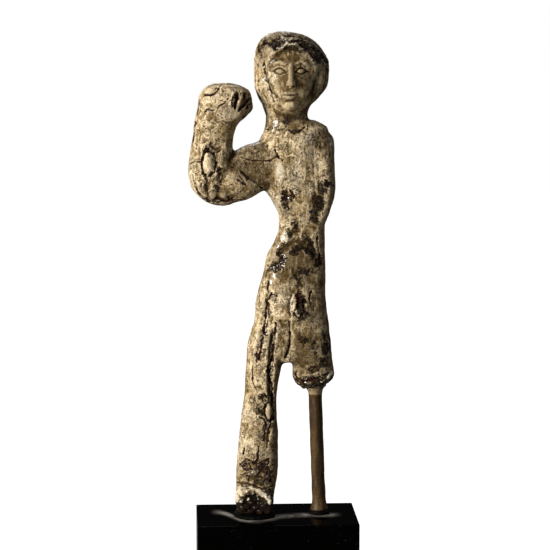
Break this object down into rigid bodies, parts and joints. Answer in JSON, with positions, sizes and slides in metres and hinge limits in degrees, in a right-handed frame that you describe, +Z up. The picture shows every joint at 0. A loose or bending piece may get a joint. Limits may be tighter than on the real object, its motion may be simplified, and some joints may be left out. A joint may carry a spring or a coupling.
{
  "type": "lead votive figurine on its mount",
  "caption": "Small cast lead votive figure with a raised fist, its left arm, left leg and toes broken off, held up by a rod on a black block.",
  "frame": {"origin": "centre of the block's underside, where the mount stands on a shelf", "axes": "+Z up through the figure, the figure faces -Y, +X to its left, which is the viewer's right"},
  "size_m": [0.0397, 0.022, 0.1347],
  "materials": {
    "corroded_lead": "cream and beige corrosion skin with dark brown and black crusts, satin with small glossy spots",
    "rod_paint": "dull olive-brown paint, paler at both splayed ends",
    "black_gloss": "polished black"
  },
  "bodies": {
    "root": {"figurine": "corroded_lead", "support_rod": "rod_paint", "base_block": "black_gloss"}
  },
  "joints": []
}
